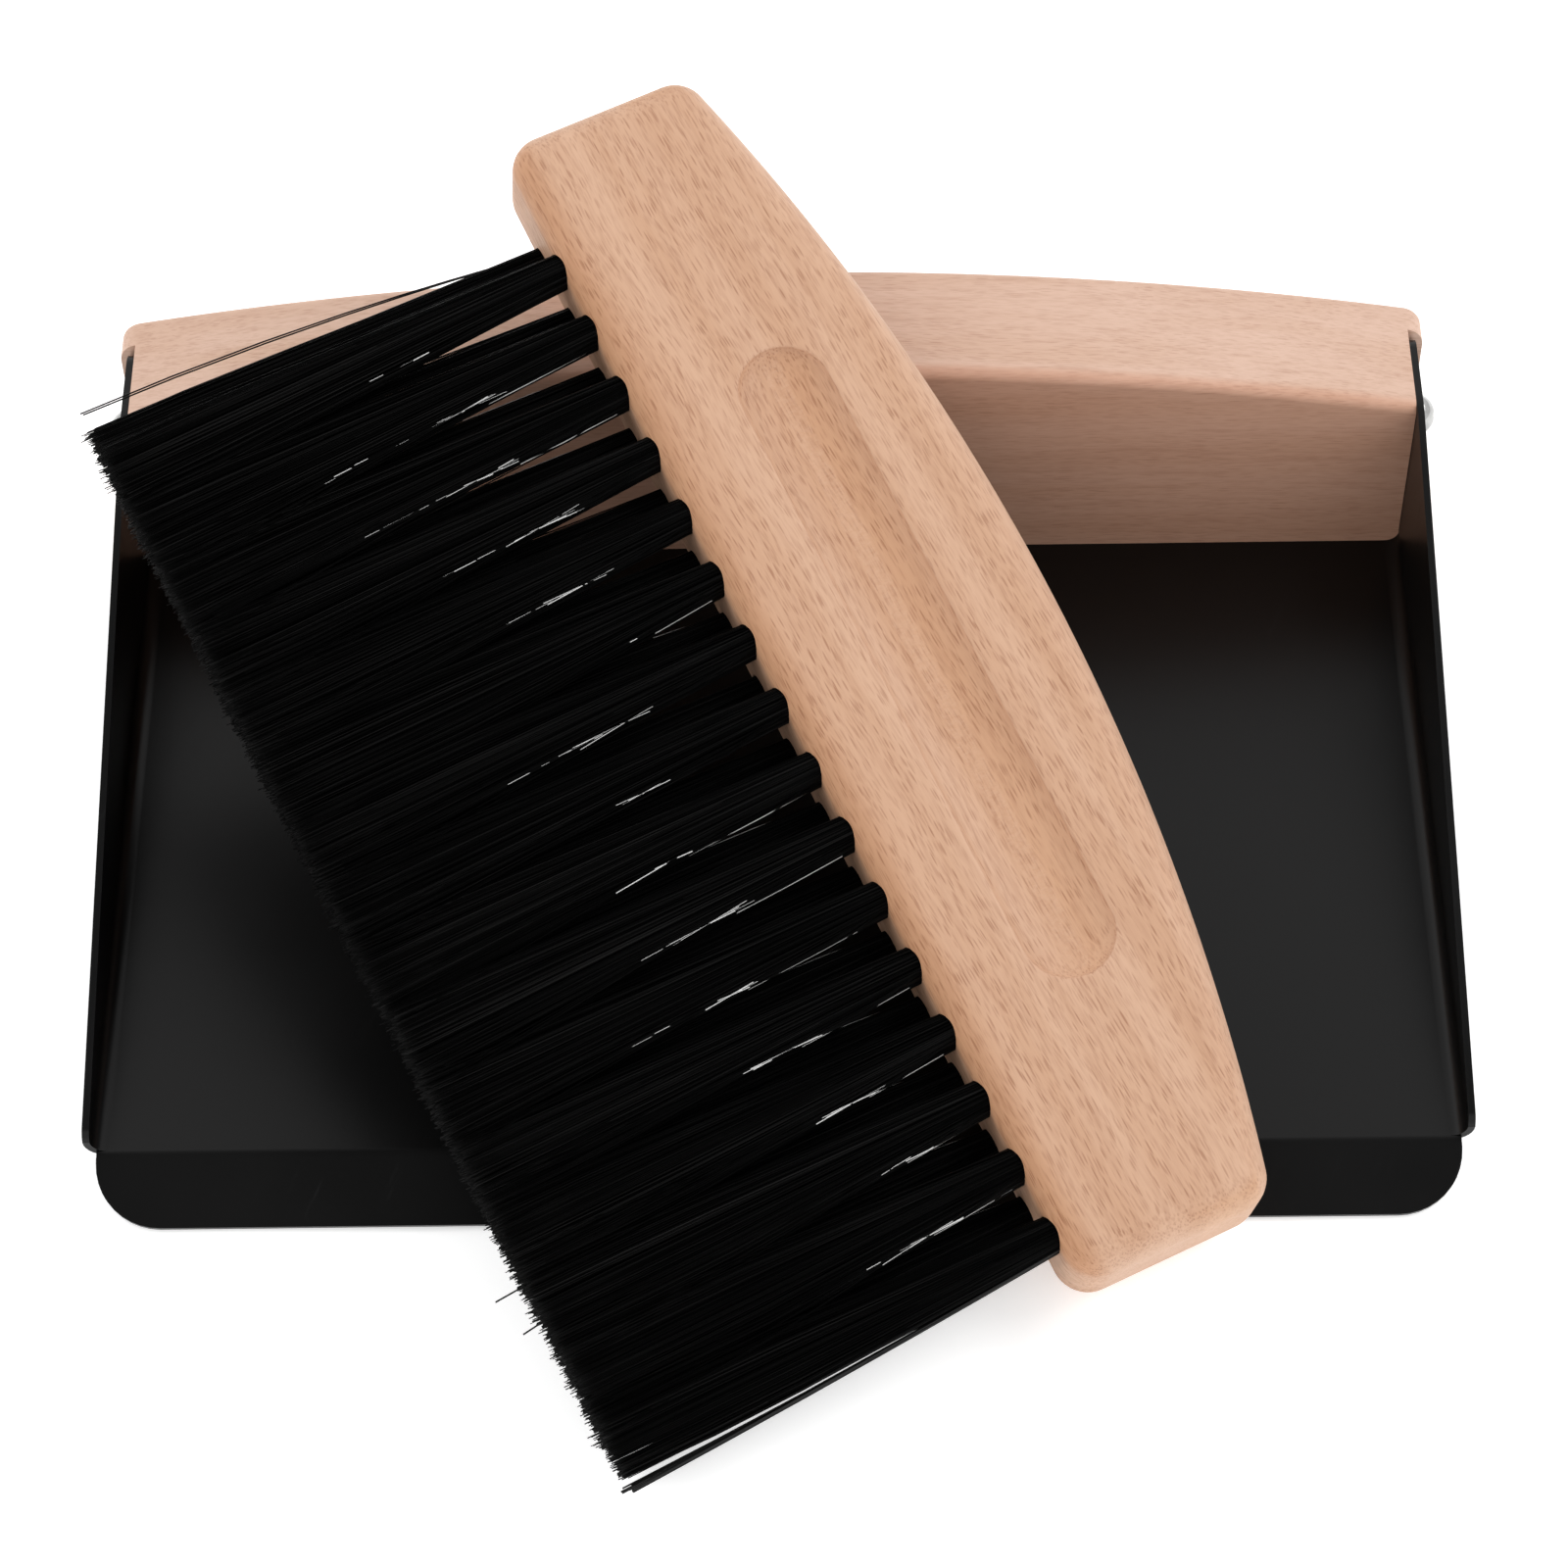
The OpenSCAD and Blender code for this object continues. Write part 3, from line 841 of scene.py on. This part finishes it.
def flecks(n, seed, size, width, share, turned, moved):
    """Short dashes along the grain: one for a share of the cells of the given size, in metres.

    width is how far a dash reaches from the middle of its cell, as a share of the cell.
    """
    length, across = size
    place = n.scaled((1 / length, 1 / across, 1 / across), turned, moved)
    place = n.vector("ADD", place, (seed, seed * 1.7, seed * 2.3))
    cells = n.add("ShaderNodeTexVoronoi", {"Vector": place, "Scale": 1.0, "Randomness": 1.0})
    near = n.ramp(cells.outputs["Distance"], width, width * 0.4)
    pick = n.add("ShaderNodeSeparateColor", {"Color": cells.outputs["Color"]}).outputs["Red"]
    return n.sum("MULTIPLY", near, n.ramp(pick, 1 - share, 1.0, 0.4, 1.0))


def beech(name, seed, tones, fleck_strength, turned=0.0):
    """Bare beech: pinkish tan with fine grain along X and many short dark flecks along it.

    Gives the node builder, the base colour, the grain and the height of the surface.
    """
    light, middle, dark = tones
    n = Nodes(name)
    moved = n.wander(0.03, 0.0022)
    bands = n.noise((7, 150, 150), 3.0, 0.5, turned, moved)
    grain = n.noise((60, 1100, 1100), 3.0, 0.62, turned, moved)
    fibre = n.noise((260, 4200, 4200), 2.0, 0.6, turned, moved)
    cloud = n.noise((35, 60, 60), 3.0, 0.55)
    base = n.mix(n.ramp(bands, 0.32, 0.68), light, middle)
    base = n.mix(n.ramp(cloud, 0.45, 0.75, 0.0, 0.35), base, middle)
    base = n.mix(n.ramp(grain, 0.42, 0.78, 0.0, 0.25), base, dark)
    base = n.mix(n.ramp(fibre, 0.45, 0.85, 0.0, 0.15), base, dark)
    thin = flecks(n, seed, (0.0048, 0.00043), 0.44, 0.75, turned, moved)
    short = flecks(n, seed + 8.6, (0.0040, 0.00050), 0.42, 0.7, turned, moved)
    long = flecks(n, seed + 5.3, (0.0078, 0.0009), 0.30, 0.4, turned, moved)
    small = n.sum("MULTIPLY", n.sum("MAXIMUM", thin, short), 0.8)
    fleck = n.sum("MAXIMUM", small, n.sum("MULTIPLY", long, 0.9))
    fleck = n.sum("MULTIPLY", fleck, n.ramp(bands, 0.3, 0.6, 0.6 * fleck_strength, fleck_strength))
    base = n.mix(fleck, base, dark)
    height = n.sum("SUBTRACT", n.sum("MULTIPLY", grain, 0.5), n.sum("MULTIPLY", fleck, 0.9))
    return n, base, grain, height


def finish_wood(n, base, grain, height):
    """The surface that both woods share."""
    return n.finish(
        Base_Color=base, Roughness=n.ramp(grain, 0.2, 0.8, 0.46, 0.6),
        Normal=n.bump(height, 0.00009, 0.6), Specular_IOR_Level=0.3,
    )


def handle_beech():
    """The handle's wood, with painted shade that makes it darker and redder on the side that faces the pan.
    """
    tones = colour(0.635, 0.435, 0.34), colour(0.59, 0.39, 0.292), colour(0.34, 0.17, 0.105)
    n, base, grain, height = beech("handle_beech", 1, tones, 0.42)
    depth = n.place_part("Z")
    # Painted shade: the front face, towards the pan, is made darker and redder.
    front = n.ramp(depth, (HANDLE_THICK - 3.0) * MM, (HANDLE_THICK - 0.5) * MM)
    base = n.mix(front, base, colour(0.94, 0.81, 0.74), "MULTIPLY")
    return finish_wood(n, base, grain, height)


def brush_beech():
    """The brush's wood, with a painted highlight that makes its rounded edges paler, and painted shade that
    makes it darker and redder beside the bristles and in the groove.
    """
    light = colour(0.602, 0.377, 0.256)
    tones = light, colour(0.548, 0.325, 0.208), colour(0.30, 0.13, 0.068)
    n, base, grain, height = beech("brush_beech", 2, tones, 0.8, -3.0)
    depth = n.place_part("Z")
    from_line = n.sum("ABSOLUTE", n.sum("SUBTRACT", n.place_part("Y"), GROOVE_LINE * MM), 0.0)
    from_middle = n.sum("ABSOLUTE", n.sum("SUBTRACT", n.place_part("X"), GROOVE_SHIFT * MM), 0.0)
    beside = n.ramp(from_line, 0.52 * GROOVE_WIDTH * MM, 0.6 * GROOVE_WIDTH * MM)
    past = n.ramp(from_middle, 0.5 * GROOVE_LENGTH * MM, 0.53 * GROOVE_LENGTH * MM)
    # Painted highlight: paler over the rounded edges, away from the groove and the bristle side.
    edge = n.ramp(depth, (BRUSH_THICK - 0.2) * MM, (BRUSH_THICK - 4.5) * MM, 0.0, 0.4)
    edge = n.sum("MULTIPLY", edge, n.sum("MAXIMUM", beside, past))
    edge = n.sum("MULTIPLY", edge, n.ramp(n.place_part("Y"), 3.0 * MM, 7.0 * MM))
    base = n.mix(edge, base, colour(0.60, 0.415, 0.31))
    # Painted shade: darker and redder along the upper edge beside the bristles.
    painted_shade_bristle_side = n.ramp(n.place_part("Y"), 6.0 * MM, 1.5 * MM)
    painted_shade_bristle_side = n.sum("MULTIPLY", painted_shade_bristle_side, n.ramp(depth, 15.0 * MM, 18.0 * MM))
    base = n.mix(painted_shade_bristle_side, base, colour(0.93, 0.82, 0.70), "MULTIPLY")
    # Painted shade: darker and redder inside the groove, most on its wall away from the bristles.
    painted_groove_shade = n.ramp(depth, (BRUSH_THICK - 0.4) * MM, (BRUSH_THICK - 1.6) * MM)
    painted_groove_shade = n.sum("MULTIPLY", painted_groove_shade, n.ramp(from_line, 0.56 * GROOVE_WIDTH * MM, 0.5 * GROOVE_WIDTH * MM))
    upper_side = n.ramp(n.place_part("Y"), (GROOVE_LINE - 7) * MM, (GROOVE_LINE + 3) * MM)
    painted_groove_shade = n.sum("MULTIPLY", painted_groove_shade, upper_side)
    base = n.mix(painted_groove_shade, base, colour(0.97, 0.92, 0.85), "MULTIPLY")
    marks = groove_marks(n, from_line, depth)
    base = n.mix(n.ramp(marks, 0.8, 2.2, 0.0, 0.4), base, light)
    return finish_wood(n, base, grain, n.sum("ADD", height, marks))


def groove_marks(n, from_line, depth):
    """Cutter marks along the bottom of the finger groove."""
    middle = n.ramp(from_line, 2.6 * MM, 1.2 * MM)
    sunk = n.ramp(depth, (BRUSH_THICK - 1.2) * MM, (BRUSH_THICK - 2.0) * MM)
    chatter = n.noise((1500, 900, 900), 2.0, 0.6)
    return n.sum("MULTIPLY", n.sum("MULTIPLY", middle, sunk), n.sum("MULTIPLY", chatter, 3.0))


def powder_coat():
    """Black satin powder coat, with its fine orange peel and a few faint scuffs."""
    n = Nodes("powder_coat")
    peel = n.noise((1300, 1300, 1300), 2.0, 0.55)
    grit = n.noise((5200, 5200, 5200), 1.0, 0.5)
    cloud = n.noise((14, 14, 14), 3.0, 0.6)
    scuff = n.noise((900, 35, 200), 3.0, 0.7, 24.0)
    base = n.mix(n.ramp(cloud, 0.3, 0.7), colour(0.0010, 0.0010, 0.0010), colour(0.0017, 0.0016, 0.0016))
    base = n.mix(n.ramp(scuff, 0.66, 0.8, 0.0, 0.3), base, colour(0.008, 0.008, 0.008))
    rough = n.sum("ADD", n.ramp(cloud, 0.25, 0.75, 0.29, 0.35), n.ramp(scuff, 0.6, 0.8, 0.0, 0.06))
    height = n.sum("ADD", peel, n.sum("MULTIPLY", grit, 0.35))
    return n.finish(
        Base_Color=base, Roughness=rough, Normal=n.bump(height, 0.00002, 0.4), Specular_IOR_Level=0.25,
    )


def chrome():
    """Bright screw metal, a little smeared."""
    n = Nodes("screw_chrome")
    smear = n.noise((500, 500, 500), 3.0, 0.6)
    base = n.mix(n.ramp(smear, 0.3, 0.7), colour(0.36, 0.36, 0.355), colour(0.46, 0.46, 0.45))
    rough = n.ramp(smear, 0.3, 0.7, 0.1, 0.2)
    return n.finish(Base_Color=base, Metallic=1.0, Roughness=rough, Normal=n.bump(smear, 0.00001, 0.4))


def drawn_wire():
    """Steel wire with fine lines along it, for the staples."""
    n = Nodes("anchor_steel")
    lines = n.noise((300, 6000, 6000), 2.0, 0.5)
    base = n.mix(n.ramp(lines, 0.3, 0.7), colour(0.5, 0.5, 0.49), colour(0.66, 0.66, 0.64))
    return n.finish(Base_Color=base, Metallic=1.0, Roughness=n.ramp(lines, 0.3, 0.7, 0.25, 0.4))


def bristle():
    """Black filament. Each strand has its own tone, and the few that catch the light are pale there."""
    n = Nodes("black_filament")
    tone = n.add("ShaderNodeAttribute", attribute_name="strand_tone").outputs["Fac"]
    streak = n.noise((700, 30, 700), 2.0, 0.5)
    value = n.sum("ADD", n.sum("MULTIPLY", tone, 0.75), n.sum("MULTIPLY", streak, 0.4))
    base = n.mix(n.ramp(value, 0.3, 1.1), colour(0.0012, 0.0012, 0.0012), colour(0.0085, 0.0082, 0.0080))
    base = n.mix(n.ramp(tone, 1.2, 2.6), base, colour(0.75, 0.75, 0.74))
    return n.finish(
        Base_Color=base, Roughness=n.ramp(tone, 0.0, 1.0, 0.38, 0.52),
        Specular_IOR_Level=n.ramp(value, 0.3, 1.1, 0.03, 0.14),
    )


def coat(piece, material):
    """Gives a piece its one material."""
    piece.data.materials.clear()
    piece.data.materials.append(material)


# ---------------------------------------------------------------- assembly


def place(piece, body, slot, material, *nodes):
    """Coats a piece, gives it its body and hides the CAD nodes that it replaces. slot is not used."""
    coat(piece, material)
    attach(piece, body)
    if nodes:
        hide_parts(*nodes)


handle_wood = handle_beech()
brush_wood = brush_beech()
steel_coat = powder_coat()
screw_metal = chrome()
hair = bristle()

place(make_pan(), "dustpan", "pan_coating", steel_coat, "pan_sheet")
place(make_handle(), "dustpan", "handle_wood", handle_wood, "pan_handle")
for side, way in (("left", -1), ("right", 1)):
    node = f"handle_screw_{side}"
    place(make_screw(f"screw_{side}", node, way), "dustpan", "screw_metal", screw_metal, node)
place(make_brush_block(), "brush", "brush_wood", brush_wood, "brush_block")
for i in range(1, TUFTS + 1):
    place(make_bristles(i), "brush", "bristles", hair, f"tuft_pair_{i:02d}")
coat(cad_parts["tuft_anchors"], drawn_wire())

# ---------------------------------------------------------------- studio

TABLE_GLOW = 0.45        # how brightly the white table glows
TENT = 1.06              # brightness of the tent round the scene
OVERHEAD = 0.06          # brightness straight above, which the pan's lip mirrors
DARK_PATCH = (0.87, 0.96)                # where the tent darkens, as the sine of the elevation
SOFTBOX_PLACE = (1150, 150, 1250)        # the right one. The left one mirrors it
SOFTBOX_AIM = (0, -60, 0)
SOFTBOX_SIZE = (0.9, 0.9)                # in metres
SOFTBOX_WATTS = {"right": 9, "left": 6.5}
CAMERA_TARGET = (1.5, -77.5, 20.0)       # the place in the middle of the picture
CAMERA_DISTANCE = 775.7
CAMERA_TURN = (53.0, 0.4, -1.0)          # elevation, yaw and roll in degrees
CAMERA_LENS = 103.9                      # for a sensor 36 mm wide


def make_floor():
    """A white table that glows a little, so that it stays white beside the object."""
    n = Nodes("studio_white")
    tone = n.noise((3, 3, 3), 2.0, 0.5)
    white = n.mix(n.ramp(tone, 0.3, 0.7), colour(0.92, 0.92, 0.92), colour(0.94, 0.94, 0.94))
    n.finish(Base_Color=white, Roughness=0.9, Emission_Color=white, Emission_Strength=TABLE_GLOW)
    half = 2000.0
    corners = [(-half, -half, 0), (half, -half, 0), (half, half, 0), (-half, half, 0)]
    floor = mesh_piece("studio_floor", corners, [(0, 1, 2, 3)])
    coat(floor, n.material)


def area_light(name, place_mm, aim_mm, size, watts):
    """A rectangular lamp at one place, aimed at another."""
    lamp = bpy.data.lights.new(name, "AREA")
    lamp.shape = "RECTANGLE"
    lamp.size, lamp.size_y = size
    lamp.energy = watts
    holder = bpy.data.objects.new(name, lamp)
    bpy.context.scene.collection.objects.link(holder)
    holder.location = Vector(place_mm) * MM
    way = Vector(aim_mm) - Vector(place_mm)
    holder.rotation_euler = way.to_track_quat("-Z", "Y").to_euler()


def make_lights():
    """A bright tent all round with a dark patch overhead, and a softbox at each side."""
    world = bpy.data.worlds.new("studio")
    world.use_nodes = True
    bpy.context.scene.world = world
    tree = world.node_tree
    way = tree.nodes.new("ShaderNodeTexCoord")
    split = tree.nodes.new("ShaderNodeSeparateXYZ")
    level = tree.nodes.new("ShaderNodeMapRange")
    level.interpolation_type = "SMOOTHSTEP"
    level.inputs["From Min"].default_value, level.inputs["From Max"].default_value = DARK_PATCH
    level.inputs["To Min"].default_value = TENT
    level.inputs["To Max"].default_value = OVERHEAD
    tree.links.new(way.outputs["Generated"], split.inputs[0])
    tree.links.new(split.outputs["Z"], level.inputs["Value"])
    tree.links.new(level.outputs["Result"], tree.nodes["Background"].inputs["Strength"])
    tree.nodes["Background"].inputs["Color"].default_value = (1, 1, 1, 1)
    x, y, z = SOFTBOX_PLACE
    for name, side in (("right", 1), ("left", -1)):
        area_light(f"{name}_softbox", (side * x, y, z), SOFTBOX_AIM, SOFTBOX_SIZE, SOFTBOX_WATTS[name])


def make_camera():
    """The photo's camera, fitted to the pan's corners and the outlines of both blocks."""
    elevation, yaw, roll = CAMERA_TURN
    aim = turn(yaw, "Z") @ turn(90 - elevation, "X") @ turn(roll, "Z")
    back = aim @ Vector((0, 0, 1))
    lens = bpy.data.cameras.new("camera")
    lens.sensor_width = 36.0
    lens.lens = CAMERA_LENS
    lens.clip_start = 0.05
    camera = bpy.data.objects.new("camera", lens)
    bpy.context.scene.collection.objects.link(camera)
    spot = Vector(CAMERA_TARGET) + back * CAMERA_DISTANCE
    camera.matrix_world = Matrix.Translation(spot * MM) @ aim
    bpy.context.scene.camera = camera


make_floor()
make_lights()
make_camera()
bpy.context.scene.view_settings.view_transform = "Standard"
